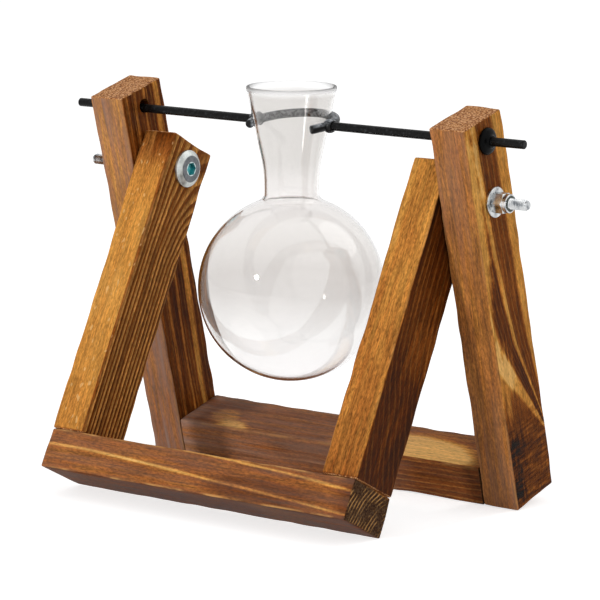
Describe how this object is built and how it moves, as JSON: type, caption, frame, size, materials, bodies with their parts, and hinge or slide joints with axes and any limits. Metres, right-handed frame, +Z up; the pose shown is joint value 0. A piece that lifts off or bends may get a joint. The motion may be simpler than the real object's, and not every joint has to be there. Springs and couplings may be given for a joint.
{
  "type": "propagation vase",
  "caption": "Round glass bulb vase for rooting cuttings, hung by its flared neck in a wire ring that swivels in a folding wooden A-frame stand.",
  "frame": {"origin": "on the table, under the middle of the stand's footprint and of its width", "axes": "+X along the swivel rod to the viewer's right, -Y towards the front rail, +Z up"},
  "size_m": [0.203, 0.108, 0.1507],
  "materials": {
    "carbonised_pine": "torched and waxed softwood, satin",
    "beech_dowel": "plain",
    "zinc_steel": "bright zinc plating",
    "nylon": "matte",
    "black_wire": "satin black powder coat",
    "black_rubber": "moulded, matte",
    "clear_glass": "blown clear glass with a fire-polished lip"
  },
  "bodies": {
    "tall_frame": {"rear_rail": "carbonised_pine", "tall_leg_left": "carbonised_pine", "tall_leg_right": "carbonised_pine", "rear_dowels_left": "beech_dowel", "rear_dowels_right": "beech_dowel", "pivot_bolt_left": "zinc_steel", "pivot_bolt_right": "zinc_steel", "washer_left": "zinc_steel", "washer_right": "zinc_steel", "lock_nut_left": "zinc_steel", "lock_nut_right": "zinc_steel", "nylon_insert_left": "nylon", "nylon_insert_right": "nylon"},
    "front_frame": {"front_rail": "carbonised_pine", "front_leg_left": "carbonised_pine", "front_leg_right": "carbonised_pine", "front_dowels_left": "beech_dowel", "front_dowels_right": "beech_dowel"},
    "swivel_holder": {"neck_ring": "black_wire", "rod_left": "black_wire", "rod_right": "black_wire", "rubber_stop_left": "black_rubber", "rubber_stop_right": "black_rubber"},
    "vase": {"glass_vase": "clear_glass"}
  },
  "joints": [
    {"name": "stand_fold", "type": "hinge", "parent": "tall_frame", "child": "front_frame", "pos_m": [0, 0.01353, 0.11506], "axis": [1, 0, 0], "range_deg": [-50, 28]},
    {"name": "holder_swivel", "type": "hinge", "parent": "tall_frame", "child": "swivel_holder", "pos_m": [0, 0.00777, 0.13732], "axis": [1, 0, 0], "range_deg": [-75, 75]},
    {"name": "vase_lift", "type": "slide", "parent": "swivel_holder", "child": "vase", "axis": [0, 0, 1], "range_m": [0, 0.025]}
  ]
}
